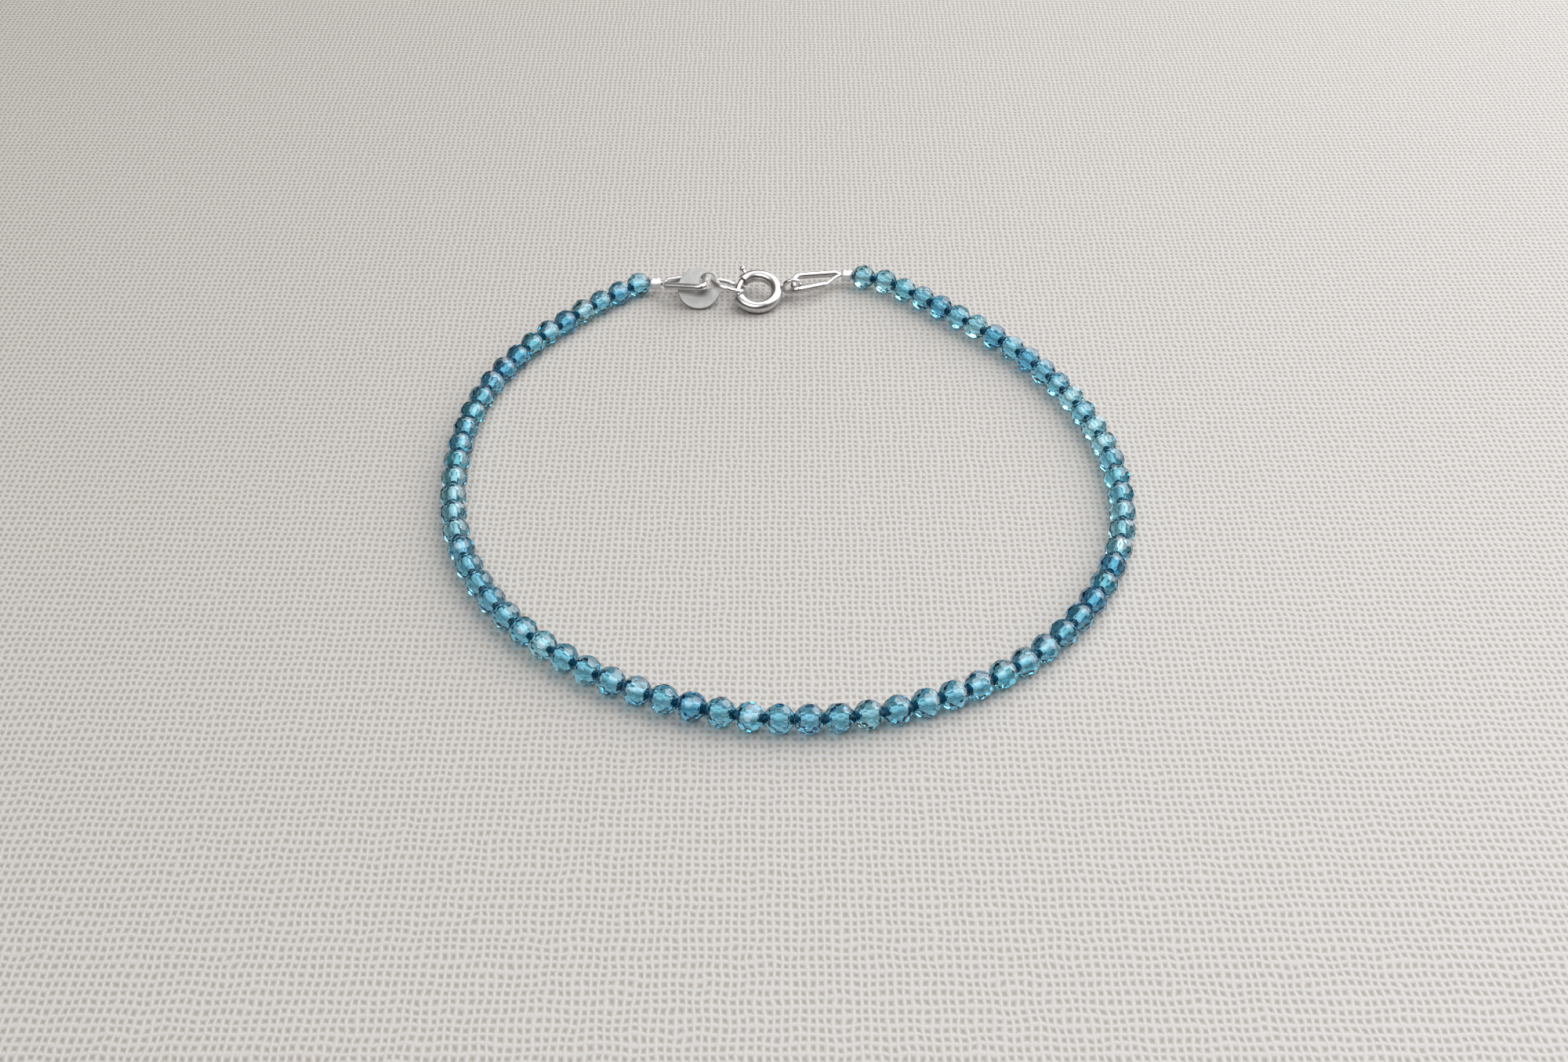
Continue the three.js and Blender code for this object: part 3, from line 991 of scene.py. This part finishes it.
def curved_pin():
    """The bolt's pin, along the spring ring's tube, with a round tip."""
    frames = ring_frames(BOLT["tail_deg"], BOLT["tip_deg"], BOLT["rings"])
    length = math.radians(BOLT["tip_deg"] - BOLT["tail_deg"]) * SPRING_RING["major"]

    def radius(share):
        left = (1 - share) * length / BOLT["radius"]
        rounding = math.sqrt(1 - (1 - left) ** 2) if left < 1 else 1.0
        return BOLT["radius"] * MM * rounding + BOLT["tip_radius"] * MM

    return tube(frames, radius, BOLT["sides"])


def trigger_stem(start, outward, length):
    """The trigger's waisted stem, with a section between an ellipse and a rectangle."""
    along = RING_NORMAL.cross(outward)
    sides, steps, power = TRIGGER["sides"], TRIGGER["steps"], TRIGGER["squareness"]
    verts = []
    for n in range(steps + 1):
        level = length * n / steps
        waist = 1 - TRIGGER["waist"] * math.sin(math.pi * min(1.0, level / length))
        for j in range(sides):
            angle = 2 * math.pi * j / sides
            u = math.copysign(abs(math.cos(angle)) ** power, math.cos(angle)) * TRIGGER["length"] / 2
            v = math.copysign(abs(math.sin(angle)) ** power, math.sin(angle)) * TRIGGER["width"] / 2
            verts.append(start + (outward * level + (along * u + RING_NORMAL * v) * waist) * MM)
    return verts, capped(steps + 1, sides)


def make_bolt():
    """The curved pin, and the trigger that stands out of the slot."""
    outward = ring_outward(BOLT["trigger_deg"])
    start = RING_CENTRE + outward * SPRING_RING["major"] * MM
    length = SPRING_RING["tube"] + TRIGGER["reach"]
    knob = ball(start + outward * length * MM, TRIGGER["knob"] * MM, outward)
    shape = joined([curved_pin(), trigger_stem(start, outward, length), knob])
    piece("silver_bolt", shape, [SILVER], ["bolt"], body="bolt")


def ball(centre, radius, axis, rows=16, sides=32, flat=0.9):
    """A slightly flattened ball, its poles on axis."""
    side = axis.orthogonal().normalized()
    other = axis.cross(side)
    verts = [centre - axis * radius * flat]
    for i in range(1, rows):
        latitude = math.pi * (i / rows - 0.5)
        for j in range(sides):
            angle = 2 * math.pi * j / sides
            way = side * math.cos(angle) + other * math.sin(angle)
            verts.append(
                centre + (way * math.cos(latitude) + axis * math.sin(latitude) * flat) * radius
            )
    verts.append(centre + axis * radius * flat)
    faces = []
    for j in range(sides):
        k = (j + 1) % sides
        faces.append((0, 1 + k, 1 + j))
        for i in range(rows - 2):
            a = 1 + i * sides
            faces.append((a + j, a + k, a + sides + k, a + sides + j))
        top = 1 + (rows - 2) * sides
        faces.append((len(verts) - 1, top + j, top + k))
    return verts, faces


# ---------------------------------------------------------------- floor, light and camera

FLOOR_HALF = 1.5  # metres
LIGHTS = (  # name, azimuth, elevation, distance, size, power, colour
    ("window", 36, 45, 0.6, (0.86, 0.86), 8.6, (0.97, 0.98, 1.0)),
    ("far_window", -125, 60, 0.55, (0.36, 0.28), 1.35, (0.95, 0.975, 1.0)),
)
ROOM = {  # a pale room, brighter behind on the right
    "towards": (0.5, 0.35, 0.79),
    "low": (0.26, 0.21, 0.16),
    "high": (1.0, 0.96, 0.9),
    "start": 0.3,
    "end": 0.95,
}
ONLOOKER = {  # who holds the camera, and darkens the room there
    "towards": (0.0, -0.72, 0.69),
    "low": (1, 1, 1),
    "high": (0.24, 0.21, 0.24),
    "start": 0.86,
    "end": 0.95,
}
ROOM_STRENGTH = 0.4


def make_floor():
    """A square of cloth under the bracelet."""
    mesh = bpy.data.meshes.new("floor")
    corners = [(x * FLOOR_HALF, y * FLOOR_HALF, 0) for x, y in ((-1, -1), (1, -1), (1, 1), (-1, 1))]
    mesh.from_pydata(corners, [], [(0, 1, 2, 3)])
    mesh.materials.append(cloth("pale_floor"))
    floor = bpy.data.objects.new("floor", mesh)
    bpy.context.scene.collection.objects.link(floor)


def area_light(name, azimuth, elevation, distance, size, power, colour):
    """A soft light that looks at the bracelet. Azimuth 0 is +X, and it turns towards +Y."""
    data = bpy.data.lights.new(name, "AREA")
    data.shape = "RECTANGLE"
    data.size, data.size_y = size
    data.energy = power
    data.color = colour
    light = bpy.data.objects.new(name, data)
    a, e = math.radians(azimuth), math.radians(elevation)
    way = Vector((math.cos(a) * math.cos(e), math.sin(a) * math.cos(e), math.sin(e)))
    light.location = way * distance
    light.rotation_mode = "QUATERNION"
    light.rotation_quaternion = (-way).to_track_quat("-Z", "Y")
    bpy.context.scene.collection.objects.link(light)


def make_light():
    """The windows, and the room round them."""
    for light in LIGHTS:
        area_light(*light)
    world = bpy.data.worlds.new("studio")
    world.use_nodes = True
    bpy.context.scene.world = world
    nodes, links = world.node_tree.nodes, world.node_tree.links
    room = direction_ramp(nodes, links, **ROOM)
    onlooker = direction_ramp(nodes, links, **ONLOOKER)
    background = nodes["Background"]
    links.new(multiplied(nodes, links, room, onlooker), background.inputs["Color"])
    background.inputs["Strength"].default_value = ROOM_STRENGTH


def make_camera():
    """The camera where the photo was taken from."""
    data = bpy.data.cameras.new("camera")
    data.lens = CAMERA["lens"]
    data.clip_start = CAMERA["clip"] * MM
    camera = bpy.data.objects.new("camera", data)
    camera.location = Vector((-CAMERA["left"], -CAMERA["back"], CAMERA["up"])) * MM
    camera.rotation_euler = (math.radians(90 - CAMERA["down_deg"]), 0, 0)
    bpy.context.scene.collection.objects.link(camera)
    bpy.context.scene.camera = camera


# ---------------------------------------------------------------- the scene

make_camera()
make_floor()
make_light()
make_beads()
make_thread()
for side in ("right", "left"):
    make_crimp(side)
    make_guardian(side)
make_tag()
make_jump_ring()
make_spring_ring()
make_bolt()

bpy.context.scene.view_settings.view_transform = "Standard"
